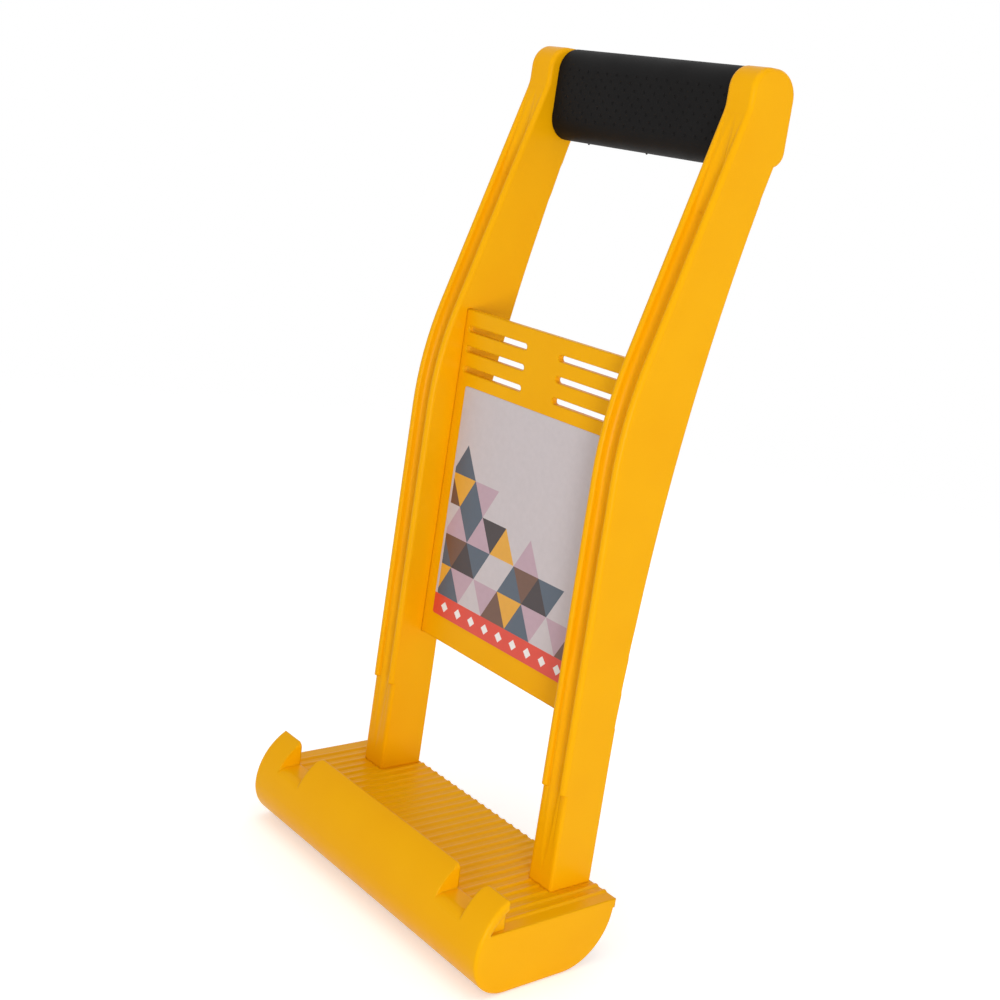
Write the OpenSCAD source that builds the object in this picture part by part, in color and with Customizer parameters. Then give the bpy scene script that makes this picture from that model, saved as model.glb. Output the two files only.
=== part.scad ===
// Panel carrier: a hand tool that hooks under a board and lifts it.
// X runs along the base, +Y points to the back and +Z points up. The tool stands on its flat foot.
// Profiles are drawn in the Y-Z plane with y = 0 at the back face of the hooked lip.

/* [Base] */
// Length of the base
base_len = 170; // [150:1:240]
// Height of the deck above the floor
deck_h = 28; // [26:0.5:40]
// How far the deck reaches behind the braces
deck_edge = 0.7; // [0.4:0.1:10]
// Thickness of the deck
deck_t = 4; // [3:0.5:6]
// How far the front wall swells out in front of the lip
bulge = 14.4; // [12:0.2:18]
// Radius of the lower front edge
toe_r = 18; // [14:0.5:22]
// Radius of the lower rear edge
heel_r = 25; // [16:0.5:25]
// Wall thickness of the base
base_wall = 3.5; // [2.5:0.1:5]
// Rounding of the base's end edges
base_edge_r = 1.5; // [0.5:0.1:2.2]
// Thickness of the ribs inside the base
base_rib_t = 2.5; // [1.5:0.1:4]
// Number of ribs between the two leg sockets
base_rib_count = 4; // [2:1:8]

/* [Lip] */
// Height of the lip above the deck
lip_h = 13.2; // [8:0.1:20]
// How far the lip's tip sits in front of its foot
lip_lean = 0.6; // [0:0.1:3]
// Width of the lip's flat top edge
lip_t = 0.6; // [0.4:0.1:2]
// Room beside each brace in the lip's notches, on the side of the middle
notch_side = 2; // [0.5:0.1:4]
// Room beside each brace in the lip's notches, on the side of the base's end
notch_out = 0.4; // [0.3:0.1:4]
// Height of the notches' floor above the deck
notch_h = 2.4; // [0.5:0.1:4]
// Rounding of the lip's top corners at the notches
lip_corner_r = 2.5; // [1:0.1:5]
// Rounding where a notch's floor runs over into the front wall
notch_r = 5.4; // [3:0.1:8]

/* [Deck treads] */
// Spacing of the treads
tread_pitch = 5.2; // [3.2:0.1:10]
// Radius of a tread's round top
tread_r = 1.9; // [1:0.1:2.4]
// Height of a tread above the deck
tread_h = 0.6; // [0.3:0.1:0.9]

/* [Braces] */
// Clear width between the braces, which is the length of the grip
grip_len = 109.2; // [90:0.2:130]
// Width of a brace, seen from the front
brace_w = 14.7; // [13:0.1:18]
// Gap for the board, from the lip to the foot of a brace
trough = 36.6; // [25:0.1:40]
// Depth of a brace at its foot
leg_depth = 23.1; // [20:0.1:24]
// Height above the deck where the brace's front steps out
step_h = 43.5; // [20:0.5:60]
// Size of that step
step_out = 1.7; // [0.5:0.1:3]
// Plain front above the deck, before the groove starts to sink in
foot_plain = 4; // [2:0.5:15]
// Height above the step at which the groove reaches its full depth
groove_rise = 60; // [30:1:80]
// Height of the bend above the deck
bend_h = 203; // [170:1:230]
// Radius of the bend at the front
bend_r = 160; // [100:5:240]
// Backward slope of the upper half, in degrees
slope = 18; // [10:0.1:22]
// Height above the deck where the back starts to curve
back_h = 54; // [45:1:90]
// Width of the groove down the front
groove_w = 7.8; // [6:0.1:9]
// Depth of the groove
groove_d = 5; // [3:0.1:6]
// Rounding at the bottom of the groove
groove_r = 3.4; // [1:0.1:3.4]
// Rounding of the brace's outer front edges
edge_r = 2; // [0.8:0.1:2.4]
// Rounding of the front edges below the step
leg_edge_r = 1.4; // [0.8:0.1:2]
// Rounding of the back edges and of the groove's mouth below the step
back_edge_r = 0.8; // [0.4:0.1:1.5]
// Web behind the groove
web_t = 4; // [3:0.1:6]
// Thickness of the side walls
side_t = 2.9; // [2.6:0.1:4]
// Spacing of the ribs across the open back
brace_rib_pitch = 30; // [20:1:33]
// Thickness of those ribs
brace_rib_t = 2.2; // [1.5:0.1:4]

/* [Handle] */
// Height of the whole tool
total_h = 378.3; // [360:0.1:400]
// Depth of a brace's head
head_d = 26.2; // [24:0.1:32]
// Height of a brace's head
head_h = 40; // [37:0.1:46]
// Rounding of the head's top front corner
head_r = 10; // [6:0.1:10.5]
// Rounding of the head's top rear corner
head_rear_r = 12; // [6:0.1:13]
// Rounding of the head's lower rear corner
head_heel_r = 7; // [5.5:0.1:9]
// How far the head stands out behind the brace
head_lap = 5.3; // [4:0.1:7]
// Upright stretch of the head's front below its top corner
head_flat = 7.7; // [4:0.1:10]
// Radius where the sloping front runs into that stretch
kink_r = 15; // [5:1:20]
// Length over which the groove fades out below the head
fade_len = 42; // [20:1:60]
// Depth of the grip, front to back
grip_d = 21.5; // [18:0.1:24]
// Height of the grip's section
grip_h = 42.2; // [38:0.1:46]
// Depth of the core inside the grip
core_d = 12; // [9:0.1:13]
// Height of the core's section
core_h = 30; // [24:0.1:32]
// Length of the core's tenon in each head
tenon = 10; // [7:0.1:11]
// Web along the middle of the core
core_web = 3; // [2:0.1:5]
// Number of pockets along each side of the core
core_pockets = 4; // [2:1:8]

/* [Liner plate] */
// Thickness of the plate
plate_t = 3; // [2:0.1:4]
// Set-back of the plate from the foot of the braces' front
plate_back = 12.3; // [8.5:0.1:14]
// Height of the plate's lower edge above the deck
plate_low = 69.4; // [50:0.2:90]
// Height of the plate
plate_h = 156.4; // [130:0.2:165]
// Length of the plate's side tongues
tongue = 1.85; // [1:0.05:2]
// Number of slots, one above the other
slot_rows = 3; // [1:1:4]
// Height of a slot
slot_h = 3; // [2:0.1:5]
// Spacing of the slots
slot_pitch = 9.4; // [7:0.1:12]
// Plate left above the top slot's middle
slot_top = 8.6; // [6:0.1:14]
// Half the width of the plate between the two columns of slots
slot_mid = 10.5; // [5:0.1:20]
// Plate left between a slot and the brace
slot_side = 2.5; // [1.5:0.1:8]

/* [Label] */
// Width of the label
label_w = 96; // [60:0.5:104]
// Height of the label
label_h = 109.8; // [60:0.2:112]
// Thickness of the label
label_t = 0.3; // [0.1:0.05:0.5]
// Plate left below the label
label_low = 11.8; // [5:0.1:14]

/* [Joints] */
// Depth of a leg's spigot in the base
spigot_h = 18; // [10:0.5:20]
// Shoulder beside the spigot
spigot_side = 2; // [1:0.1:3]
// Shoulder in front of the spigot
spigot_front = 4.4; // [3:0.1:6]
// Shoulder behind the spigot
spigot_rear = 3; // [2:0.1:5]
// Clearance round spigots, tongues, tenons and the core
fit_gap = 0.15; // [0.1:0.05:0.3]
// Diameter of a foot screw
foot_screw_d = 5; // [4:0.1:6]
// Length of a foot screw under its head
foot_screw_len = 18; // [14:0.5:20]
// Diameter of a foot screw's head
foot_head_d = 9; // [7:0.1:10]
// Height of a foot screw's head
foot_head_h = 3; // [2:0.1:3.2]
// Thickness of base that a foot screw clamps
foot_seat_t = 3.5; // [2.5:0.1:4]
// Diameter of a core screw
core_screw_d = 4; // [3:0.1:4.5]
// Length of a core screw under its head
core_screw_len = 12; // [8:0.5:12.5]
// Diameter of a core screw's head
core_head_d = 7.6; // [6:0.1:9]
// Height of a core screw's head
core_head_h = 2.2; // [1.5:0.1:2.4]

/* [Hidden] */
$fn = 96;
// Sides of an arc's full circle for each root of its radius
arc_detail = 12;
yellow = "#F5AA14";
black = "#262626";
steel = "silver";
// Overlap that joins two solids of one piece, and overrun of a cutter
bite = 0.5;
over = 1;
// How far a brace's sloped stretch is drawn in from its neighbours' surfaces, and how far it laps into them
seam = 0.02;
seam_lap = 0.3;
// Depth at which a fading groove ends, and how far its filling reaches past the groove's edge
fade_d = 0.05;
fade_side = 0.3;
// Radius of the dished floor where the groove fades, and the dish's depth at its deep end
dish_r = 4.5;
dish_d = 2.3;
// How far the rounding in a notch stands proud of the front wall's arc
notch_proud = 0.1;
// Derived places and radii are rounded, so that neighbouring stretches meet exactly
function snap(v, step = 0.001) = round(v / step) * step;

// Base: front wall in two arcs that meet at the height of the toe's centre
front_y = -bulge;
deck_depth = trough + leg_depth + deck_edge;
tip = [-lip_lean, deck_h + lip_h];
brow_in = bulge - lip_lean - lip_t;
brow_r = snap((pow(brow_in, 2) + pow(tip.y - toe_r, 2)) / (2 * brow_in));
// The upper arc runs on past the lip's top, which is then cut flat
brow_past = 6;
brow_angle = min(90, atan2(tip.y - toe_r, brow_r - brow_in) + brow_past);
heel_y = deck_depth - heel_r;
toe_y = front_y + toe_r;
// The floor of the base ends where the heel has risen by half its thickness
floor_angle = acos(1 - base_wall / 2 / heel_r);

// Braces
inner_x = grip_len / 2;
outer_x = inner_x + brace_w;
mid_x = (inner_x + outer_x) / 2;
notch_w = brace_w + notch_side + notch_out;
notch_x = mid_x + (notch_out - notch_side) / 2;
leg_y = trough;
leg_back = trough + leg_depth;
step_z = deck_h + step_h;
bend_z = deck_h + bend_h;
rail_y = leg_y - step_out;
bend_run = snap(bend_r * tan(slope / 2));
flange_t = (brace_w - groove_w) / 2;
nose_r = flange_t - edge_r;
leg_groove_d = groove_d - step_out;
channel_w = brace_w - 2 * side_t;

// Head and grip
kink_z = total_h - head_r - head_flat;
kink_run = snap(kink_r * tan(slope / 2));
head_front = snap(rail_y + (kink_z - bend_z) * tan(slope));
head_back = head_front + head_d;
head_low = total_h - head_h;
head_heel = [head_back - head_heel_r, head_low + head_heel_r];
grip_y = head_back - grip_d / 2;
grip_z = total_h - grip_h / 2;
rim = groove_d + web_t;
head_rim = 5;
// Height at which the sloping front ends, and the place of that end
fade_z = kink_z - kink_run * cos(slope);
fade_y = head_front - kink_run * sin(slope);
slope_len = (kink_z - bend_z) / cos(slope) - bend_run - kink_run;
front_path = [[bend_z - bend_run - step_z, 0], [bend_r, slope]];
head_path = [
    [head_flat - kink_run, 0],
    [head_r, 90],
    [head_d - head_r - head_rear_r, 0],
    [head_rear_r, 90],
    [head_h - head_rear_r - head_heel_r, 0],
    [head_heel_r, 90],
    [2 * over, 0]
];

// Back edge of a brace: upright, then one arc that ends inside the head
back_z = deck_h + back_h;
back_end = [head_back - head_lap, head_low + 2 * over];
back_rise = back_end - [leg_back, back_z];
back_r = snap((pow(back_rise.x, 2) + pow(back_rise.y, 2)) / (2 * back_rise.x), 0.01);
back_angle = asin(back_rise.y / back_r);
back_path = [[back_h, 0], [back_r, -back_angle]];

// Liner plate
plate_y = leg_y + plate_back;
plate_z = deck_h + plate_low;

// Spigots and screws: clearance of a shank, of a head and past a tip, how far a core screw's head
// sits below the surface, and the wall between a foot screw and the front of its spigot
screw_gap = 0.1;
head_gap = 0.4;
head_sunk = 0.2;
foot_screw_edge = 1;
// Width and depth of the cross in a screw's head, and its span as a share of the head
cross_w = 1.2;
cross_d = 1.2;
cross_span = 0.6;
spigot_w = brace_w - 2 * spigot_side;
spigot_y = leg_y + spigot_front;
spigot_d = leg_depth - spigot_front - spigot_rear;
spigot_z = deck_h - spigot_h;
socket_w = spigot_w + 2 * fit_gap;
foot_screw_y = spigot_y + foot_screw_d / 2 + foot_screw_edge;
foot_screw_z = spigot_z - foot_seat_t;
core_screw_x = inner_x + tenon / 2;
core_screw_y = head_back - core_head_h - head_sunk;
core_hole_y = core_screw_y - core_screw_len - head_gap;

// Solid lengths at the two ends of a brace's open back, depth of its back flanges and set-back of its ribs
foot_solid = 12;
head_solid = 10;
back_rim = 6;
rib_back = 1.5;
// Straight stretches that follow a brace's curved back inside its flanges
side_steps = 12;

// Middle of the whole depth, which comes to y = 0
mid_y = (front_y + head_back) / 2;

// Front edge of the sloped or upright stretch of a brace at height z, without its roundings
function front_at(z) = rail_y + max(z - bend_z, 0) * tan(slope);
// Back edge of a brace at height z
function back_at(z) = z < back_z ? leg_back : leg_back + back_r - sqrt(pow(back_r, 2) - pow(z - back_z, 2));
// Direction of travel, and the direction into the material, at a heading from straight up
function ahead(heading) = [sin(heading), cos(heading)];
function inward(heading) = [cos(heading), -sin(heading)];

// Sweeps a 2-D section along a path in the Y-Z plane. The section's x goes to X and its y goes into
// the material. Each step of the path is [length, 0] for a straight run or [radius, angle] for an arc,
// which turns towards the material where its angle is positive.
module sweep(path, at, heading, i = 0) {
    if (i < len(path)) {
        size = path[i][0];
        angle = path[i][1];
        side = sign(angle);
        centre = at + side * size * inward(heading);
        if (angle == 0) {
            translate([0, at.x, at.y]) rotate([-heading, 0, 0]) linear_extrude(size) children();
            sweep(path, at + size * ahead(heading), heading, i + 1) children();
        } else {
            translate([0, centre.x, centre.y]) rotate([-heading, 0, 0]) rotate([90, 0, -90 * side])
                rotate_extrude(angle = abs(angle), $fn = max($fn, arc_detail * sqrt(size)))
                    translate([size, 0]) rotate(90 + 90 * side) mirror([1, -1]) children();
            sweep(path, centre - side * size * inward(heading + angle), heading + angle, i + 1) children();
        }
    }
}

// Extrudes a profile drawn in Y and Z from x0 to x1
module across(x0, x1) {
    translate([x0, 0, 0]) rotate([90, 0, 90]) linear_extrude(x1 - x0) children();
}

// Moves the drawn frame so that the middle of the depth comes to y = 0
module placed() {
    translate([0, -mid_y, 0]) children();
}

module both_sides() {
    children();
    mirror([1, 0, 0]) children();
}

// Rectangle whose two corners at y = 0 are rounded
module edged_strip(width, depth, r) {
    translate([-width / 2, r]) square([width, depth - r]);
    translate([-width / 2 + r, 0]) square([width - 2 * r, r + bite]);
    for (x = [-1, 1]) {
        translate([x * (width / 2 - r), r]) circle(r);
    }
}

// Oblong of a given depth and height with round ends
module oblong(depth, height) {
    for (z = [-1, 1]) {
        translate([0, z * (height - depth) / 2]) circle(depth / 2);
    }
    square([depth, height - depth], center = true);
}

// Side view of the base below the deck, drawn in from its outline by inset
module base_profile(inset) {
    intersection() {
        union() {
            translate([front_y + brow_r, toe_r]) circle(brow_r - inset);
            translate([toe_y, toe_r]) square([deck_depth - inset - toe_y, deck_h]);
        }
        translate([front_y, toe_r]) square([deck_depth - front_y, deck_h - toe_r]);
    }
    intersection() {
        translate([toe_y, toe_r]) circle(toe_r - inset);
        translate([front_y, 0]) square([bulge + toe_y, toe_r]);
    }
    translate([toe_y, inset]) square([heel_y - toe_y, toe_r - inset]);
    intersection() {
        translate([heel_y, heel_r]) circle(heel_r - inset);
        translate([heel_y, 0]) square(heel_r);
    }
}

// Section of the base's wall, and its two ends alone
module base_section() {
    edged_strip(base_len, base_wall, base_edge_r);
}

module base_section_ends() {
    intersection() {
        base_section();
        for (x = [-1, 1]) {
            translate([x * (base_len - base_wall) / 2, base_wall / 2]) square(base_wall, center = true);
        }
    }
}

// Front wall and floor as one skin, with the rims of the end walls behind them
module base_skin() {
    clear_len = base_len - 2 * base_wall;
    sweep([[heel_y - toe_y, 0], [toe_r, 90], [brow_r, brow_angle]], [heel_y, 0], 270) base_section();
    mirror([0, 1, 0]) sweep([[heel_r, floor_angle]], [-heel_y, 0], 270)
        translate([-clear_len / 2, 0]) square([clear_len, base_wall]);
    sweep([[deck_h - heel_r, 0], [heel_r, 90]], [deck_depth, deck_h], 180) base_section_ends();
}

// Upright wall across the base, set in a little from the skin's outside
module base_web(x0, x1, inset = 2 * bite) {
    across(x0, x1) base_profile(inset);
}

// End walls, ribs, and a pair of ribs beside each spigot, all open to the rear
module base_ribs() {
    socket_x = socket_w / 2;
    span = mid_x - socket_x - base_rib_t;
    for (i = [1 : base_rib_count]) {
        x = -span + 2 * span * i / (base_rib_count + 1);
        base_web(x - base_rib_t / 2, x + base_rib_t / 2);
    }
    both_sides() {
        base_web(base_len / 2 - base_wall, base_len / 2, base_edge_r + bite);
        base_web(mid_x - socket_x - base_rib_t, mid_x - socket_x);
        base_web(mid_x + socket_x, mid_x + socket_x + base_rib_t);
        across(mid_x - socket_x - bite, mid_x + socket_x + bite) intersection() {
            base_profile(2 * bite);
            translate([spigot_y - base_wall, 0]) square([deck_depth, spigot_z]);
        }
    }
}

// Wedge of the lip behind the skin
module lip_wedge() {
    across(-base_len / 2 + base_edge_r + bite, base_len / 2 - base_edge_r - bite) intersection() {
        translate([front_y + brow_r, toe_r]) circle(brow_r - bite);
        translate([front_y, deck_h - bite]) square([bulge + bite, lip_h + over]);
    }
}

// Room for the board: everything above the deck and behind the lip, and everything above the lip
module board_room() {
    high = tip.y + 2 * base_wall;
    across(-base_len / 2 - over, base_len / 2 + over)
        polygon([[0, deck_h], tip, [front_y, tip.y], [front_y, high], [deck_depth + over, high],
                 [deck_depth + over, deck_h]]);
}

// Gap in the lip in front of a brace, whose mouth leaves the lip's corners round
module lip_notch() {
    half = notch_w / 2;
    translate([notch_x, over, deck_h]) rotate([90, 0, 0]) linear_extrude(bulge + 2 * over) {
        translate([-half, notch_h]) square([notch_w, lip_h - notch_h + over]);
        for (s = [0, 1]) {
            mirror([s, 0]) difference() {
                translate([half, lip_h - lip_corner_r]) square([lip_corner_r, lip_corner_r + over]);
                translate([half + lip_corner_r, lip_h - lip_corner_r]) circle(lip_corner_r);
            }
        }
    }
}

// Corner between a notch's floor and the front wall that is rounded off. The rounding stands a little
// proud of both faces, so that it crosses them, and ends at the height where it would touch the wall's arc.
module notch_edge() {
    floor_z = deck_h + notch_h;
    rise = floor_z - notch_r - toe_r;
    touch_z = toe_r + rise * brow_r / (brow_r - notch_r);
    round_y = front_y + brow_r - sqrt(pow(brow_r - notch_r, 2) - pow(rise, 2));
    across(notch_x - notch_w / 2, notch_x + notch_w / 2) difference() {
        translate([front_y - over, touch_z]) square([round_y - front_y + over, floor_z - touch_z + over]);
        translate([round_y - notch_proud, floor_z - notch_r + seam]) circle(notch_r);
    }
}

// Opening in the deck for a spigot, and the hole for its screw
module spigot_cut() {
    translate([mid_x - socket_w / 2, spigot_y - fit_gap, spigot_z])
        cube([socket_w, spigot_d + 2 * fit_gap, spigot_h + over]);
    translate([mid_x, foot_screw_y, -over]) cylinder(d = foot_head_d + 2 * head_gap, h = foot_screw_z + over);
    translate([mid_x, foot_screw_y, 0]) cylinder(d = foot_screw_d + 2 * screw_gap, h = spigot_z + over);
}

// Round-topped treads along the deck, cut away under the braces' feet
module treads() {
    count = floor((base_len / 2 - tread_r - base_edge_r) / tread_pitch);
    difference() {
        for (i = [-count : count]) {
            translate([i * tread_pitch, bite, deck_h + tread_h - tread_r]) rotate([-90, 0, 0])
                cylinder(r = tread_r, h = deck_depth - bite);
        }
        both_sides() translate([inner_x - head_gap, leg_y - head_gap, deck_h - tread_r * 2])
            cube([brace_w + 2 * head_gap, deck_depth, 4 * tread_r]);
    }
}

module base() {
    color(yellow) placed() union() {
        difference() {
            union() {
                base_skin();
                base_ribs();
                lip_wedge();
                across(-base_len / 2, base_len / 2) translate([front_y + base_wall, deck_h - deck_t])
                    square([deck_depth - front_y - base_wall, deck_t]);
            }
            board_room();
            both_sides() lip_notch();
            both_sides() notch_edge();
            both_sides() spigot_cut();
        }
        treads();
    }
}

// Outline of the groove in a section, with round bottom corners and an eased mouth
module groove_cut(width, depth, mouth_r) {
    r = min(groove_r, depth - mouth_r, width / 2 - bite);
    translate([-width / 2, -over]) square([width, depth - r + over]);
    translate([-width / 2 + r, -over]) square([width - 2 * r, depth + over]);
    for (s = [0, 1]) {
        mirror([s, 0]) {
            translate([width / 2 - r, depth - r]) circle(r);
            difference() {
                translate([width / 2, -over]) square([mouth_r, mouth_r + over]);
                translate([width / 2 + mouth_r, mouth_r]) circle(mouth_r);
            }
        }
    }
}

// Grooved front of a brace above its step, drawn in by inset
module rail_section(inset = 0) {
    translate([0, inset]) difference() {
        edged_strip(brace_w - 2 * inset, rim - 2 * inset, edge_r - inset);
        groove_cut(groove_w + 2 * inset, groove_d, nose_r - inset);
    }
}

// Grooved front of a brace below its step
module leg_section() {
    difference() {
        edged_strip(brace_w, rim - step_out, leg_edge_r);
        groove_cut(groove_w, leg_groove_d, back_edge_r);
    }
}

// Plain rim of a brace's head
module head_section() {
    edged_strip(brace_w, head_rim, edge_r);
}

// The two flanges at the back of a brace
module back_section() {
    intersection() {
        edged_strip(brace_w, back_rim, back_edge_r);
        for (x = [-1, 1]) {
            translate([x * (brace_w - side_t) / 2, back_rim / 2]) square([side_t, back_rim], center = true);
        }
    }
}

// Round bar whose surface cuts the dished floor of a fading groove, along a line in the Y-Z plane
module dish(start, end) {
    run = end - start;
    heading = atan2(run.x, run.y);
    sweep([[norm(run) + 2 * over, 0]], start - over * ahead(heading) - dish_r * inward(heading), heading)
        circle(dish_r);
}

// Fills the groove along a dished ramp, so that it fades out below the head
module groove_fade() {
    half = groove_w / 2 + nose_r + fade_side;
    function at(along, depth) = [fade_y, fade_z] + along * ahead(slope) + depth * inward(slope);
    difference() {
        across(-half, half) polygon([at(-fade_len, groove_d - dish_d), at(0, fade_d), at(bite, bite),
                                     at(bite, rim - bite), at(-fade_len, rim - bite)]);
        dish(at(-fade_len, groove_d), at(0, fade_d));
    }
}

// Fills the groove along a dished ramp from above the step to the foot, so that it fades out there
module groove_start() {
    half = groove_w / 2 + back_edge_r + fade_side;
    low = deck_h + foot_plain;
    high = step_z + groove_rise;
    floor_y = leg_y + leg_groove_d;
    difference() {
        across(-half, half) polygon([[leg_y, deck_h], [leg_y, low], [floor_y - dish_d, high],
                                     [floor_y + bite, high], [floor_y + bite, deck_h]]);
        dish([leg_y, low], [floor_y, high]);
    }
}

// Side view of the head, drawn in so that it ends inside the head's rounded rim. The points given go on
// from the head's heel down the back, and up the front again.
module head_profile(points) {
    inset = head_rim - bite;
    brow = [head_front + head_r, total_h - head_r];
    nape = [head_back - head_rear_r, total_h - head_rear_r];
    polygon(concat([
        [head_front + inset, kink_z],
        [head_front + inset, brow.y],
        [brow.x, total_h - inset],
        [nape.x, total_h - inset],
        [head_back - inset, nape.y],
        [head_back - inset, head_heel.y]
    ], points));
    translate(brow) circle(head_r - inset);
    translate(nape) circle(head_rear_r - inset);
    translate(head_heel) circle(head_heel_r - inset + bite);
}

// Side walls of a brace between its front, its back flanges and the rim of its head
module brace_sides() {
    for (s = [0, 1]) {
        mirror([s, 0, 0]) across(brace_w / 2 - side_t, brace_w / 2) head_profile(concat(
            [for (i = [side_steps : -1 : 0])
                let (z = deck_h + (head_low - deck_h) * i / side_steps) [back_at(z) - back_rim + bite, z]],
            [for (z = [deck_h, bend_z]) [front_at(z) + rim - bite, z]],
            [[front_at(fade_z - over) + head_rim - bite, fade_z - over]]
        ));
    }
}

// Ribs across the open back of a brace
module brace_ribs() {
    low = deck_h + foot_solid;
    high = head_low - head_solid;
    bays = ceil((high - low) / brace_rib_pitch);
    for (i = [1 : bays - 1]) {
        z = low + (high - low) * i / bays;
        y = front_at(z) + rim - bite;
        across(-channel_w / 2 - bite, channel_w / 2 + bite) translate([y, z - brace_rib_t / 2])
            square([back_at(z) - rib_back - y, brace_rib_t]);
    }
}

// Solid foot of a brace and the spigot below it
module brace_foot() {
    across(-brace_w / 2 + bite, brace_w / 2 - bite) translate([leg_y + leg_groove_d + bite, deck_h])
        square([leg_depth - leg_groove_d - 2 * bite, foot_solid]);
    across(-spigot_w / 2, spigot_w / 2) translate([spigot_y, spigot_z])
        square([spigot_d, spigot_h + foot_solid / 2]);
}

// Solid middle of a brace's head
module head_block() {
    low = head_low - head_solid;
    across(-channel_w / 2 - bite, channel_w / 2 + bite) head_profile([
        [back_at(head_low) - rib_back, head_low],
        [back_at(low) - rib_back, low],
        [front_at(low) + rim - bite, low]
    ]);
}

// One brace about its own middle plane
module brace_body() {
    head_start = [head_front, kink_z + kink_run];
    slope_start = [rail_y, bend_z] + (bend_run - seam_lap) * ahead(slope);
    sweep([[step_h, 0]], [leg_y, deck_h], 0) leg_section();
    sweep(front_path, [rail_y, step_z], 0) rail_section();
    sweep([[slope_len + 2 * seam_lap, 0]], slope_start, slope) rail_section(seam);
    mirror([0, 0, 1]) sweep([[kink_r, -slope]], [head_start.x, -head_start.y], 0) head_section();
    sweep(head_path, head_start, 0) head_section();
    mirror([0, 1, 0]) sweep(back_path, [-leg_back, deck_h], 0) back_section();
    groove_fade();
    groove_start();
    brace_sides();
    brace_ribs();
    brace_foot();
    head_block();
}

// Sockets and screw holes in the brace on the +X side
module brace_cuts() {
    translate([inner_x - over, plate_y - fit_gap, plate_z - fit_gap])
        cube([tongue + fit_gap + over, plate_t + 2 * fit_gap, plate_h + 2 * fit_gap]);
    across(inner_x - over, inner_x + tenon + fit_gap) translate([grip_y, grip_z])
        oblong(core_d + 2 * fit_gap, core_h + 2 * fit_gap);
    translate([core_screw_x, head_back + over, grip_z]) rotate([90, 0, 0])
        cylinder(d = core_head_d + 2 * head_gap, h = head_back + over - core_screw_y);
    translate([core_screw_x, core_screw_y + over, grip_z]) rotate([90, 0, 0])
        cylinder(d = core_screw_d + 2 * screw_gap, h = core_screw_y + over - grip_y);
    translate([mid_x, foot_screw_y, spigot_z - over])
        cylinder(d = foot_screw_d + 2 * screw_gap, h = foot_screw_len - foot_seat_t + 2 * over);
}

module brace() {
    color(yellow) placed() difference() {
        translate([mid_x, 0, 0]) brace_body();
        brace_cuts();
    }
}

module right_brace() {
    brace();
}

module left_brace() {
    mirror([1, 0, 0]) brace();
}

// Slotted plate whose side edges are tongues in the braces
module liner_plate() {
    color(yellow) placed() translate([0, plate_y + plate_t, plate_z]) rotate([90, 0, 0])
        linear_extrude(plate_t) difference() {
            translate([-inner_x - tongue, 0]) square([grip_len + 2 * tongue, plate_h]);
            for (s = [0, 1], i = [0 : slot_rows - 1]) {
                mirror([s, 0]) translate([slot_mid, plate_h - slot_top - i * slot_pitch]) slot();
            }
        }
}

// One slot with round ends, from its inner end outwards
module slot() {
    length = inner_x - slot_side - slot_mid;
    translate([slot_h / 2, -slot_h / 2]) square([length - slot_h, slot_h]);
    for (x = [slot_h / 2, length - slot_h / 2]) {
        translate([x, 0]) circle(slot_h / 2);
    }
}

// Bar between the heads, pocketed on both sides and solid at its tenons
module handle_core() {
    pocket_len = (grip_len - (core_pockets + 1) * core_web) / core_pockets;
    pocket_h = core_h - core_d;
    color(black) placed() difference() {
        across(-inner_x - tenon, inner_x + tenon) translate([grip_y, grip_z]) oblong(core_d, core_h);
        for (i = [0 : core_pockets - 1], s = [-1, 1]) {
            translate([-inner_x + core_web + i * (pocket_len + core_web) + pocket_len / 2,
                       grip_y + s * core_d / 2, grip_z])
                cube([pocket_len, core_d - core_web, pocket_h], center = true);
        }
        both_sides() translate([core_screw_x, grip_y + core_d / 2 + over, grip_z]) rotate([90, 0, 0])
            cylinder(d = core_screw_d + 2 * screw_gap, h = grip_y + core_d / 2 + over - core_hole_y);
    }
}

// Soft sleeve round the core, flush with the tops and backs of the heads
module grip() {
    color(black) placed() across(-inner_x, inner_x) translate([grip_y, grip_z]) difference() {
        oblong(grip_d, grip_h);
        oblong(core_d + 2 * fit_gap, core_h + 2 * fit_gap);
    }
}

// Printed sheet on the front of the plate
module label() {
    color("lightgrey") placed() translate([-label_w / 2, plate_y - label_t, plate_z + label_low])
        cube([label_w, label_t, label_h]);
}

// Cross-head screw that points along +Z, with the underside of its head at the origin
module screw(d, length, cap_d, cap_h) {
    difference() {
        union() {
            cylinder(d = d, h = length);
            translate([0, 0, -cap_h]) cylinder(d = cap_d, h = cap_h);
        }
        for (turn = [0, 90]) {
            rotate(turn) translate([0, 0, -cap_h])
                cube([cap_d * cross_span, cross_w, 2 * cross_d], center = true);
        }
    }
}

module foot_screws() {
    color(steel) placed() both_sides() translate([mid_x, foot_screw_y, foot_screw_z])
        screw(foot_screw_d, foot_screw_len, foot_head_d, foot_head_h);
}

module core_screws() {
    color(steel) placed() both_sides() translate([core_screw_x, core_screw_y, grip_z]) rotate([90, 0, 0])
        screw(core_screw_d, core_screw_len, core_head_d, core_head_h);
}

base();
left_brace();
right_brace();
liner_plate();
handle_core();
grip();
label();
foot_screws();
core_screws();
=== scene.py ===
import math

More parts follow.
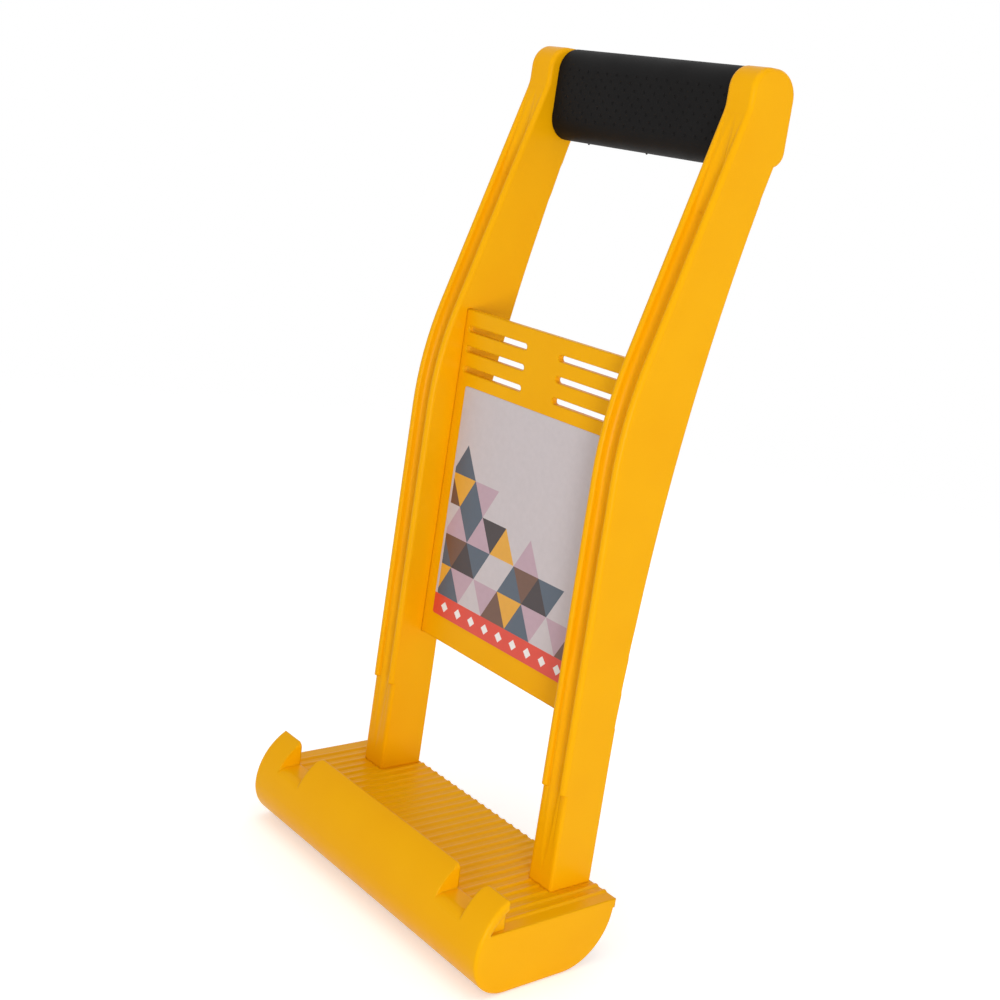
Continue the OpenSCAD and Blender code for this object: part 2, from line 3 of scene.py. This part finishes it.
import bmesh
import bpy
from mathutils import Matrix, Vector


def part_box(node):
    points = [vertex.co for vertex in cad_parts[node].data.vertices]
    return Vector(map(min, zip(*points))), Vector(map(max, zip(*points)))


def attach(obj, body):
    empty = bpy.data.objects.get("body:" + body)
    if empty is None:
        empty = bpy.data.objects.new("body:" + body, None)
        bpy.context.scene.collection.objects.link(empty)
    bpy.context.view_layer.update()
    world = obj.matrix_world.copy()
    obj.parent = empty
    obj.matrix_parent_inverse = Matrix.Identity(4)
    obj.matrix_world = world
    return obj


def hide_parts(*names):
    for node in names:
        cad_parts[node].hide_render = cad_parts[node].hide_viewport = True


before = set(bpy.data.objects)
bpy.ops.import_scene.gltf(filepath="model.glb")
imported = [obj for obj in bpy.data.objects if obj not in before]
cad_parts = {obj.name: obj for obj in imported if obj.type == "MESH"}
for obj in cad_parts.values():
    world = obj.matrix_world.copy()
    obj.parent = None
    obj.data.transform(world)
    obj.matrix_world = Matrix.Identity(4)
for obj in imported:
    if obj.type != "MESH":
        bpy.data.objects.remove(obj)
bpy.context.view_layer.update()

bl_info = {
    "name": "Panel carrier",
    "version": (1, 0, 0),
    "blender": (4, 5, 0),
    "location": "3D View > Sidebar > Carrier",
    "description": "Dresses the panel carrier: moulded body, dimpled grip, printed label and studio",
    "category": "Object",
}

MM = 0.001
# Points that lie closer than this are one point
TINY = 0.001 * MM
BODY = "root"
# Refractive index of ABS, and of rubber and clear film
ABS_INDEX = 1.54
SOFT_INDEX = 1.5


def linear(hex_code):
    """Turn an sRGB hex colour into the linear colour that the shaders take."""
    parts = [int(hex_code[i:i + 2], 16) / 255 for i in (0, 2, 4)]
    return tuple(c / 12.92 if c <= 0.04045 else ((c + 0.055) / 1.055) ** 2.4 for c in parts)


def colour(name, hex_code, description):
    """A colour property whose default is an sRGB hex value."""
    return bpy.props.FloatVectorProperty(
        name=name, description=description, subtype="COLOR", size=3, min=0, max=1,
        default=linear(hex_code))


def length(name, mm, description, low=0.0, high=1000.0):
    """A length property in metres whose default and limits are given in millimetres."""
    return bpy.props.FloatProperty(
        name=name, description=description, subtype="DISTANCE", unit="LENGTH",
        default=mm * MM, min=low * MM, max=high * MM, precision=4)


class BodyFinish(bpy.types.PropertyGroup):
    """Colours and surface of the moulded yellow body."""
    base: colour("Yellow", "F0AE04", "Colour of the moulded plastic")
    deep: colour("Deep yellow", "ECA602", "Colour where the pigment lies a little thicker")
    grit: length(
        "Grit", 0.9, "Width of the mould's spark texture, coarser than real so that it shows", 0.1, 5)
    edge: length("Edge softness", 1.1, "Width over which the moulded edges catch the light", 0, 3)
    sink: length("Sink marks", 26, "Spacing of the shallow sink marks on broad faces", 5, 100)


class GripFinish(bpy.types.PropertyGroup):
    """Sizes and colour of the soft sleeve."""
    rubber: colour("Rubber", "0F0E0E", "Colour of the soft sleeve")
    pitch: length(
        "Dimple pitch", 6.23, "Spacing of the dimples in one row; the rows lie half of it apart", 3, 20)
    dimple: length("Dimple width", 1.7, "Width of one dimple", 0.3, 3)
    depth: length("Dimple depth", 0.42, "Depth of one dimple", 0.1, 0.8)
    margin: length("Dimple margin", 2.6, "Plain strip at each end of the sleeve", 1, 20)
    end_round: length("End rounding", 0.6, "Rounding of the sleeve's end edges", 0.1, 2)
    pip: length(
        "Vent pip", 0.5, "Half width of the pips that the mould's vents leave under the sleeve", 0.1, 2)
    pip_gap: length("Pip spacing", 38, "Spacing of the three pips", 5, 50)


class LabelPrint(bpy.types.PropertyGroup):
    """Sizes and colours of the printed film."""
    ground: colour("Ground", "C3BABC", "Pale ground of the print")
    red: colour("Red", "D8422F", "Colour of the foot band")
    white: colour("White", "EBE7E5", "Colour of the lozenges on the band")
    slate: colour("Slate", "4E5A68", "Colour of the blue-grey cells")
    brown: colour("Brown", "6B4A3A", "Colour of the brown cells")
    mauve: colour("Mauve", "B79AA6", "Colour of the mauve cells")
    dark: colour("Dark", "3B3133", "Colour of the darkest cells")
    yellow: colour("Yellow", "DDA030", "Colour of the yellow cells")
    band: length("Foot band", 10, "Height of the band along the lower edge", 1, 40)
    lozenge: length("Lozenge", 5, "Width of one lozenge on the band", 1, 20)
    cell: length("Cell", 17, "Side of one three-cornered cell of the print", 4, 40)
    margin: length("Margin", 1.5, "Pale strip down each side of the cells", 0.2, 20)
    corner: length("Corner", 1.2, "Rounding of the film's corners", 0.2, 5)


class StudioSetup(bpy.types.PropertyGroup):
    """Camera and floor."""
    place: bpy.props.FloatVectorProperty(
        name="Camera place", description="Where the camera stands", subtype="TRANSLATION",
        unit="LENGTH", default=(0.484589, -0.439690, 0.346186))
    turn: bpy.props.FloatVectorProperty(
        name="Camera turn", description="How the camera is turned", subtype="EULER", unit="ROTATION",
        default=tuple(math.radians(a) for a in (80.39599, -8.39570, 50.67463)))
    lens: bpy.props.FloatProperty(
        name="Lens", description="Focal length on a 36 mm wide sensor", subtype="DISTANCE_CAMERA",
        default=54.957, min=10, max=300)
    shift: bpy.props.FloatVectorProperty(
        name="Shift", description="Shift of the lens, as a share of the picture's width", size=2,
        default=(0.0065, -0.1343))
    paper: colour("Paper", "F4F4F3", "Colour of the floor")


def opaque(rgb):
    """Add a full alpha to a colour."""
    return (*rgb, 1.0)


def shade_of(rgb, factor):
    """Make a colour lighter or darker by a factor, up to white."""
    return tuple(min(1.0, factor * c) for c in rgb)


def add_node(tree, kind, values=None, links=None, **settings):
    """Add one shader node with its settings, its socket values and its links."""
    new = tree.nodes.new(kind)
    for name, value in settings.items():
        setattr(new, name, value)
    for socket, value in (values or {}).items():
        new.inputs[socket].default_value = value
    for socket, source in (links or {}).items():
        tree.links.new(source, new.inputs[socket])
    return new


def new_material(name):
    """Start an empty material and return it with its node tree and its object coordinates."""
    made = bpy.data.materials.new(name)
    made.use_nodes = True
    tree = made.node_tree
    tree.nodes.clear()
    return made, tree, add_node(tree, "ShaderNodeTexCoord").outputs["Object"]


def noise(tree, place, size, detail=2.0):
    """Soft noise from 0 to 1 with features of about this size."""
    made = add_node(tree, "ShaderNodeTexNoise", {"Scale": 1 / size, "Detail": detail}, {"Vector": place})
    return made.outputs["Fac"]


def spread(tree, value, low, high):
    """Spread a value from 0 to 1 over a range."""
    made = add_node(tree, "ShaderNodeMapRange", {"To Min": low, "To Max": high}, {"Value": value})
    return made.outputs["Result"]


def blend(tree, value, first, second):
    """Go from one colour to another as a value goes from 0 to 1."""
    made = add_node(tree, "ShaderNodeMix", {"A": opaque(first), "B": opaque(second)},
                    {"Factor": value}, data_type="RGBA")
    return made.outputs["Result"]


def bump(tree, height, strength, depth, under=None):
    """Raise a surface by a height from 0 to 1, on top of another bump where one is given."""
    links = {"Height": height}
    if under is not None:
        links["Normal"] = under
    made = add_node(tree, "ShaderNodeBump", {"Strength": strength, "Distance": depth}, links)
    return made.outputs["Normal"]


def shaded(made, values, links):
    """Give a material its shader with these values and links, and return it."""
    shader = add_node(made.node_tree, "ShaderNodeBsdfPrincipled", values, links)
    add_node(made.node_tree, "ShaderNodeOutputMaterial", links={"Surface": shader.outputs["BSDF"]})
    return made


def seen_directly(tree):
    """Tell rays from the camera, off gloss or through glass (1) from light on the object (0)."""
    path = add_node(tree, "ShaderNodeLightPath").outputs
    clear = add_node(tree, "ShaderNodeMath", operation="MAXIMUM",
                     links={0: path["Is Camera Ray"], 1: path["Is Transmission Ray"]})
    seen = add_node(tree, "ShaderNodeMath", operation="MAXIMUM",
                    links={0: clear.outputs["Value"], 1: path["Is Glossy Ray"]})
    return seen.outputs["Value"]


def moulded_abs(finish):
    """Pigmented ABS: an even satin sheen, soft edges, a faint tone drift and shallow sink marks."""
    made, tree, place = new_material("yellow_abs_moulded")
    grit = noise(tree, place, finish.grit)
    sink = noise(tree, place, finish.sink, detail=1.0)
    edges = add_node(tree, "ShaderNodeBevel", {"Radius": finish.edge}, samples=8)
    waves = bump(tree, sink, strength=0.35, depth=0.5 * MM, under=edges.outputs["Normal"])
    return shaded(made, {"IOR": ABS_INDEX, "Specular IOR Level": 0.06}, {
        "Base Color": blend(tree, sink, finish.base, finish.deep),
        "Roughness": spread(tree, grit, low=0.28, high=0.37),
        "Normal": bump(tree, grit, strength=0.25, depth=0.03 * MM, under=waves)})


def moulded_rubber(finish):
    """Soft thermoplastic rubber: a dull, dusty sheen with a fine grain and a faint cloud."""
    made, tree, place = new_material("black_rubber_moulded")
    grain = noise(tree, place, size=0.7 * MM, detail=3.0)
    cloud = noise(tree, place, size=14 * MM)
    worn = shade_of(finish.rubber, 1.35)
    return shaded(made, {"IOR": SOFT_INDEX, "Specular IOR Level": 0.1}, {
        "Base Color": blend(tree, grain, finish.rubber, worn),
        "Roughness": spread(tree, cloud, low=0.5, high=0.66),
        "Normal": bump(tree, grain, strength=0.3, depth=0.04 * MM)})


def printed_film(name, rgb):
    """Offset print under a clear film: an even colour with faint ink mottle and a soft gloss."""
    made, tree, place = new_material(name)
    mottle = noise(tree, place, size=2.5 * MM, detail=4.0)
    wave = noise(tree, place, size=18 * MM)
    full, thin = shade_of(rgb, 0.94), shade_of(rgb, 1.05)
    return shaded(made, {"Roughness": 0.36, "IOR": SOFT_INDEX}, {
        "Base Color": blend(tree, mottle, full, thin),
        "Normal": bump(tree, wave, strength=0.2, depth=0.2 * MM)})


def black_abs():
    """Plain black ABS of the core: a dull moulded skin with fine grit."""
    made, tree, place = new_material("black_abs_plain")
    grit = noise(tree, place, size=0.8 * MM)
    return shaded(made, {"Base Color": opaque(linear("1C1C1C")), "IOR": ABS_INDEX}, {
        "Roughness": spread(tree, grit, low=0.45, high=0.6),
        "Normal": bump(tree, grit, strength=0.3, depth=0.04 * MM)})


def zinc_steel():
    """Zinc-plated screw steel: bright grey metal with a cloudy, slightly warm bloom."""
    made, tree, place = new_material("steel_zinc_plated")
    cloud = noise(tree, place, size=1.6 * MM, detail=3.0)
    return shaded(made, {"Metallic": 1.0}, {
        "Base Color": blend(tree, cloud, linear("B9BBBE"), linear("CDCBC4")),
        "Roughness": spread(tree, cloud, low=0.26, high=0.42)})


def dress(names, finish):
    """Give a finish to the solids of these nodes."""
    for name in names:
        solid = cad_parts[name]
        if not solid.material_slots:
            solid.data.materials.append(finish)
        for slot in solid.material_slots:
            slot.material = finish


def start_clean():
    """Leave edit mode and deselect everything, so that the next operator acts on its own piece."""
    if bpy.context.mode != "OBJECT":
        bpy.ops.object.mode_set(mode="OBJECT")
    bpy.ops.object.select_all(action="DESELECT")


def pick(piece, kind, test):
    """Select the edges or faces of the piece in edit mode that pass a test, and nothing else."""
    modes = {"edges": "EDGE", "faces": "FACE"}
    bpy.ops.mesh.select_mode(type=modes[kind])
    bpy.ops.mesh.select_all(action="DESELECT")
    work = bmesh.from_edit_mesh(piece.data)
    work.normal_update()
    for item in getattr(work, kind):
        if test(item):
            item.select_set(True)
    work.select_flush_mode()
    bmesh.update_edit_mesh(piece.data)


def run_along(edge):
    """How far an edge runs along X."""
    return abs(edge.verts[0].co.x - edge.verts[1].co.x)


def oblong_bar(size, middle, end_round=0.0):
    """A bar along X with round top and bottom, and eased ends where a rounding is given."""
    start_clean()
    bpy.ops.mesh.primitive_cube_add(size=1, location=middle)
    bar = bpy.context.object
    bar.scale = size
    bpy.ops.object.transform_apply(location=True, rotation=True, scale=True)
    bpy.ops.object.mode_set(mode="EDIT")
    pick(bar, "edges", lambda edge: run_along(edge) > size[0] / 2)
    bpy.ops.mesh.bevel(offset=size[1] / 2, segments=20, profile=0.5, affect="EDGES")
    bpy.ops.mesh.select_all(action="SELECT")
    bpy.ops.mesh.remove_doubles(threshold=TINY)
    if end_round:
        pick(bar, "edges", lambda edge: run_along(edge) < TINY)
        bpy.ops.mesh.bevel(offset=end_round, segments=4, profile=0.5, affect="EDGES")
    bpy.ops.object.mode_set(mode="OBJECT")
    return bar


def copies_of(context, model, places):
    """Copy a piece to each place and turn, delete the model and join the copies into one piece."""
    copies = []
    for spot, turn in places:
        copy = model.copy()
        copy.data = model.data.copy()
        copy.location = spot
        copy.rotation_euler = turn
        context.collection.objects.link(copy)
        copies.append(copy)
    bpy.data.objects.remove(model)
    start_clean()
    for copy in copies:
        copy.select_set(True)
    context.view_layer.objects.active = copies[0]
    bpy.ops.object.join()
    bpy.ops.object.transform_apply(location=True, rotation=True, scale=True)
    return copies[0]


def cut_with(piece, tool, operation):
    """Join a tool's shape to a piece or take it away, and delete the tool."""
    start_clean()
    piece.select_set(True)
    bpy.context.view_layer.objects.active = piece
    cut = piece.modifiers.new("cut", "BOOLEAN")
    cut.operation = operation
    cut.solver = "EXACT"
    cut.object = tool
    bpy.ops.object.modifier_apply(modifier=cut.name)
    bpy.data.objects.remove(tool)


class CARRIER_OT_body(bpy.types.Operator):
    """Give the base, the braces and the plate their moulded yellow finish"""
    bl_idname = "carrier.body"
    bl_label = "Moulded body"
    bl_options = {"REGISTER", "UNDO"}

    def execute(self, context):
        finish = moulded_abs(context.scene.carrier_body)
        dress(("base", "left_brace", "right_brace", "liner_plate"), finish)
        return {"FINISHED"}


class CARRIER_OT_hardware(bpy.types.Operator):
    """Give the core and the screws their finishes"""
    bl_idname = "carrier.hardware"
    bl_label = "Core and screws"
    bl_options = {"REGISTER", "UNDO"}

    def execute(self, context):
        dress(("handle_core",), black_abs())
        dress(("foot_screws", "core_screws"), zinc_steel())
        return {"FINISHED"}


class CARRIER_OT_grip(bpy.types.Operator):
    """Model the soft sleeve round the core, with eased ends, dimples and vent pips"""
    bl_idname = "carrier.grip"
    bl_label = "Grip sleeve"
    bl_options = {"REGISTER", "UNDO"}

    # Room between the core and the sleeve
    core_gap = 0.15 * MM
    # Rows of dimples on the front, and as many on the back
    rows = 8
    # Edges that turn by more than this stay sharp
    crease = math.radians(35)

    def execute(self, context):
        finish = context.scene.carrier_grip
        low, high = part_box("grip")
        core_low, core_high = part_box("handle_core")
        middle = [(a + b) / 2 for a, b in zip(low, high)]
        size = [b - a for a, b in zip(low, high)]
        bore = [b - a + 2 * self.core_gap for a, b in zip(core_low, core_high)]
        bottom = (middle[0], middle[1], low[2])
        sleeve = oblong_bar(size, middle, finish.end_round)
        sleeve.name = "grip_sleeve"
        cut_with(sleeve, oblong_bar(bore, middle), "DIFFERENCE")
        cut_with(sleeve, self.dimples(context, finish, size, middle), "DIFFERENCE")
        cut_with(sleeve, self.pips(context, finish, bottom), "UNION")
        bpy.ops.object.shade_smooth_by_angle(angle=self.crease)
        flats = sleeve.modifiers.new("flats", "WEIGHTED_NORMAL")
        flats.keep_sharp = True
        bpy.ops.object.modifier_apply(modifier=flats.name)
        sleeve.data.materials.append(moulded_rubber(finish))
        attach(sleeve, BODY)
        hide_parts("grip")
        return {"FINISHED"}

    def dimples(self, context, finish, size, middle):
        """Balls set into the front and back in rows, every second row half a pitch along."""
        radius = size[1] / 2
        flat = size[2] / 2 - radius
        ball = ((finish.dimple / 2) ** 2 + finish.depth ** 2) / (2 * finish.depth)
        out = radius + ball - finish.depth
        limit = size[0] / 2 - finish.margin
        reach = int(limit / finish.pitch) + 1
        start_clean()
        bpy.ops.mesh.primitive_uv_sphere_add(segments=12, ring_count=10, radius=ball)
        balls = []
        for side in (-1, 1):
            for row in range(self.rows):
                height = (row - (self.rows - 1) / 2) * finish.pitch / 2
                lean = math.copysign(max(abs(height) - flat, 0) / radius, height)
                level = max(-flat, min(flat, height))
                shift = finish.pitch / 2 if row % 2 else 0
                for step in range(-reach, reach + 1):
                    along = step * finish.pitch + shift
                    if abs(along) > limit:
                        continue
                    spot = (middle[0] + along, middle[1] + side * out * math.cos(lean),
                            middle[2] + level + out * math.sin(lean))
                    balls.append((spot, (math.radians(90) - side * lean, 0, 0)))
        return copies_of(context, bpy.context.object, balls)

    def pips(self, context, finish, bottom):
        """Small domes on the sleeve's lowest line."""
        start_clean()
        bpy.ops.mesh.primitive_uv_sphere_add(segments=12, ring_count=8, radius=finish.pip)
        places = [((bottom[0] + k * finish.pip_gap, bottom[1], bottom[2]), (0, 0, 0))
                  for k in (-1, 0, 1)]
        return copies_of(context, bpy.context.object, places)


class CARRIER_OT_label(bpy.types.Operator):
    """Model the printed film on the plate: three-cornered cells over a red band"""
    bl_idname = "carrier.label"
    bl_label = "Printed label"
    bl_options = {"REGISTER", "UNDO"}

    inks = ("ground", "red", "white", "slate", "brown", "mauve", "dark", "yellow")
    # Order in which the cells take their inks
    order = ("slate", "mauve", "ground", "brown", "mauve", "dark", "ground", "yellow", "slate")
    # How far the cells reach up the film at its left side and along its foot, as shares of it
    reach_up = 0.78
    reach_along = 1.25
    # Half of the way between the middles of two faces of the band, in lozenge widths
    halfway = 0.25

    def execute(self, context):
        prints = context.scene.carrier_label
        low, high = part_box("label")
        start_clean()
        bpy.ops.mesh.primitive_plane_add(
            size=1, location=((low[0] + high[0]) / 2, low[1], (low[2] + high[2]) / 2),
            rotation=(math.radians(90), 0, 0))
        film = bpy.context.object
        film.name = "printed_label"
        film.scale = (high[0] - low[0], high[2] - low[2], 1)
        bpy.ops.object.transform_apply(location=True, rotation=True, scale=True)
        for ink in self.inks:
            film.data.materials.append(printed_film("printed_film_" + ink, getattr(prints, ink)))
        bpy.ops.object.mode_set(mode="EDIT")
        bpy.ops.mesh.select_all(action="SELECT")
        bpy.ops.mesh.bevel(offset=prints.corner, segments=5, affect="VERTICES")
        self.print_cells(film, prints, low, high)
        self.print_band(film, prints, low, high)
        bpy.ops.object.mode_set(mode="OBJECT")
        thick = film.modifiers.new("thickness", "SOLIDIFY")
        thick.thickness = high[1] - low[1]
        thick.offset = -1
        bpy.ops.object.modifier_apply(modifier=thick.name)
        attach(film, BODY)
        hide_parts("label")
        return {"FINISHED"}

    def rule(self, film, inside, start, ways, gap, reach):
        """Cut the faces that pass a test along evenly spaced lines across each way."""
        steps = int(reach / gap) + 1
        for way in ways:
            for step in range(-steps, steps + 1):
                point = (start[0] + way[0] * step * gap, start[1], start[2] + way[1] * step * gap)
                pick(film, "faces", inside)
                bpy.ops.mesh.bisect(plane_co=point, plane_no=(way[0], 0, way[1]))

    def ink_faces(self, film, inside, choose):
        """Give each face that passes a test the ink that is chosen for its middle."""
        work = bmesh.from_edit_mesh(film.data)
        for face in work.faces:
            if inside(face):
                face.material_index = self.inks.index(choose(face.calc_center_median()))
        bmesh.update_edit_mesh(film.data)

    def print_cells(self, film, prints, low, high):
        """Rule the film above the band into cells and ink those towards the lower left."""
        wide, foot = high[0] - low[0], low[2] + prints.band
        tall = high[2] - foot
        gap = prints.cell * math.sin(math.radians(60))
        ways = [(math.cos(math.radians(a)), math.sin(math.radians(a))) for a in (90, -30, 30)]

        def above(face):
            return face.calc_center_median().z > foot

        def choose(spot):
            along, up = spot.x - low[0], spot.z - foot
            if not prints.margin < along < wide - prints.margin:
                return "ground"
            if up / tall / self.reach_up + along / wide / self.reach_along > 1:
                return "ground"
            row, left, right = (math.floor((along * way[0] + up * way[1]) / gap) for way in ways)
            return self.order[(row + 2 * left + 4 * right) % len(self.order)]

        bpy.ops.mesh.select_all(action="SELECT")
        bpy.ops.mesh.bisect(plane_co=(low[0], low[1], foot), plane_no=(0, 0, 1))
        for side in (low[0] + prints.margin, high[0] - prints.margin):
            pick(film, "faces", above)
            bpy.ops.mesh.bisect(plane_co=(side, low[1], foot), plane_no=(1, 0, 0))
        self.rule(film, above, (low[0], low[1], foot), ways, gap, wide + tall)
        self.ink_faces(film, above, choose)

    def print_band(self, film, prints, low, high):
        """Ink the band along the lower edge, with every second lozenge of its row in white."""
        middle = ((low[0] + high[0]) / 2, low[1], low[2] + prints.band / 2)
        slope = math.sqrt(0.5)
        ways = ((slope, slope), (slope, -slope))
        # The lines cross half a lozenge to each side of the band's middle
        start = (middle[0] + prints.lozenge / 2, middle[1], middle[2])

        def below(face):
            return face.calc_center_median().z < low[2] + prints.band

        def choose(spot):
            along, up = ((a - b) / prints.lozenge for a, b in ((spot.x, middle[0]), (spot.z, middle[2])))
            nearest = round(along)
            inside = abs(along - nearest) + abs(up) < self.halfway
            return "white" if inside and nearest % 2 == 0 else "red"

        self.rule(film, below, start, ways, prints.lozenge * slope, high[0] - low[0])
        self.ink_faces(film, below, choose)


class CARRIER_OT_studio(bpy.types.Operator):
    """Set up the floor, the soft lamps, the pale surround and the camera"""
    bl_idname = "carrier.studio"
    bl_label = "Studio"
    bl_options = {"REGISTER", "UNDO"}

    # Each lamp: name, place in metres, size in metres, power in watts
    lamps = (
        ("key", (1.02, -0.6, 0.16), 0.3, 5.6),
        ("fill", (-0.8, -1.6, 0.7), 1.4, 0.8),
        ("top", (0.1, -0.2, 1.8), 1.2, 7.0),
        ("rear", (-0.4, 1.4, 0.5), 1.0, 2.5),
    )
    # Point that the lamps look at
    aim = (0.0, 0.0, 0.12)
    # Strength of the surround's light at its foot and overhead, and the height where it starts to fall
    foot_light = 0.95
    ceiling_light = 0.42
    foot_height = -0.35
    # Radius of the floor in metres, where it starts to fade and is gone, and how far it lies below 0
    floor_radius = 1.6
    fade_start = 0.3
    fade_end = 1.1
    floor_drop = 0.2 * MM
    # Glow of the paper where it is seen directly
    paper_glow = 0.4
    # Width of the camera's sensor in millimetres, and the nearest distance in metres that it sees
    sensor = 36
    nearest = 0.01

    def execute(self, context):
        setup = context.scene.carrier_studio
        self.make_floor(setup)
        self.make_surround(context)
        for name, place, size, power in self.lamps:
            self.make_lamp(name, place, size, power)
        self.make_camera(context, setup)
        context.scene.view_settings.view_transform = "Standard"
        return {"FINISHED"}

    def make_camera(self, context, setup):
        """Add the camera and make it the scene's own."""
        start_clean()
        bpy.ops.object.camera_add(location=setup.place, rotation=setup.turn)
        camera = bpy.context.object
        camera.name = "photo_camera"
        camera.data.sensor_width = self.sensor
        camera.data.lens = setup.lens
        camera.data.shift_x, camera.data.shift_y = setup.shift
        camera.data.clip_start = self.nearest
        context.scene.camera = camera

    def make_lamp(self, name, place, size, power):
        """Add one soft square lamp that looks at the object."""
        start_clean()
        bpy.ops.object.light_add(type="AREA", location=place)
        lamp = bpy.context.object
        lamp.name = name + "_lamp"
        lamp.data.size = size
        lamp.data.energy = power
        way = [a - p for a, p in zip(self.aim, place)]
        tilt = math.atan2(math.hypot(way[0], way[1]), -way[2])
        lamp.rotation_euler = (tilt, 0, math.atan2(way[1], way[0]) - math.pi / 2)

    def make_floor(self, setup):
        """Add a round sheet of paper that fades out before its rim."""
        start_clean()
        bpy.ops.mesh.primitive_circle_add(
            vertices=96, radius=self.floor_radius, fill_type="NGON", location=(0, 0, -self.floor_drop))
        floor = bpy.context.object
        floor.name = "paper_floor"
        bpy.ops.object.transform_apply(location=True, rotation=True, scale=True)
        made, tree, place = new_material("paper_floor")
        reach = add_node(tree, "ShaderNodeVectorMath", links={0: place}, operation="LENGTH")
        fade = add_node(tree, "ShaderNodeMapRange",
                        {"From Min": self.fade_start, "From Max": self.fade_end},
                        {"Value": reach.outputs["Value"]}, interpolation_type="SMOOTHSTEP")
        glow = spread(tree, seen_directly(tree), low=0.0, high=self.paper_glow)
        paper = add_node(
            tree, "ShaderNodeBsdfPrincipled",
            {"Base Color": opaque(setup.paper), "Roughness": 0.9, "Emission Color": (1, 1, 1, 1)},
            {"Emission Strength": glow})
        clear = add_node(tree, "ShaderNodeBsdfTransparent")
        mixed = add_node(tree, "ShaderNodeMixShader", links={
            0: fade.outputs["Result"], 1: paper.outputs["BSDF"], 2: clear.outputs["BSDF"]})
        add_node(tree, "ShaderNodeOutputMaterial", links={"Surface": mixed.outputs["Shader"]})
        floor.data.materials.append(made)

    def make_surround(self, context):
        """Light from all round, less from overhead, and show white behind the object."""
        world = bpy.data.worlds.new("white_surround")
        context.scene.world = world
        world.use_nodes = True
        tree = world.node_tree
        tree.nodes.clear()
        way = add_node(tree, "ShaderNodeTexCoord").outputs["Generated"]
        height = add_node(tree, "ShaderNodeSeparateXYZ", links={"Vector": way}).outputs["Z"]
        light = add_node(tree, "ShaderNodeMapRange",
                         {"From Min": self.foot_height, "To Min": self.foot_light,
                          "To Max": self.ceiling_light}, {"Value": height})
        strength = add_node(tree, "ShaderNodeMapRange", {"To Max": 1.0},
                            {"Value": seen_directly(tree), "To Min": light.outputs["Result"]})
        sky = add_node(tree, "ShaderNodeBackground", {"Color": (1, 1, 1, 1)},
                       {"Strength": strength.outputs["Result"]})
        add_node(tree, "ShaderNodeOutputWorld", links={"Surface": sky.outputs["Background"]})


class CARRIER_PT_side(bpy.types.Panel):
    """Lists the carrier's pieces and their finishes"""
    bl_idname = "CARRIER_PT_side"
    bl_label = "Panel carrier"
    bl_space_type = "VIEW_3D"
    bl_region_type = "UI"
    bl_category = "Carrier"

    def draw(self, context):
        groups = (("carrier_body", "carrier.body"), ("carrier_grip", "carrier.grip"),
                  ("carrier_label", "carrier.label"), ("carrier_studio", "carrier.studio"))
        for group, operator in groups:
            box = self.layout.box()
            box.operator(operator)
            for name in getattr(context.scene, group).__annotations__:
                box.prop(getattr(context.scene, group), name)
        self.layout.operator("carrier.hardware")


GROUPS = {"carrier_body": BodyFinish, "carrier_grip": GripFinish, "carrier_label": LabelPrint,
          "carrier_studio": StudioSetup}
CLASSES = (*GROUPS.values(), CARRIER_OT_body, CARRIER_OT_hardware, CARRIER_OT_grip,
           CARRIER_OT_label, CARRIER_OT_studio, CARRIER_PT_side)


def register():
    """Make the groups, the operators and the panel known to Blender."""
    for item in CLASSES:
        bpy.utils.register_class(item)
    for name, group in GROUPS.items():
        setattr(bpy.types.Scene, name, bpy.props.PointerProperty(type=group))


def unregister():
    """Take them away again."""
    for name in GROUPS:
        delattr(bpy.types.Scene, name)
    for item in reversed(CLASSES):
        bpy.utils.unregister_class(item)


def main():
    """Build every piece in order."""
    register()
    bpy.ops.carrier.body()
    bpy.ops.carrier.hardware()
    bpy.ops.carrier.grip()
    bpy.ops.carrier.label()
    bpy.ops.carrier.studio()


if __name__ == "__main__":
    main()
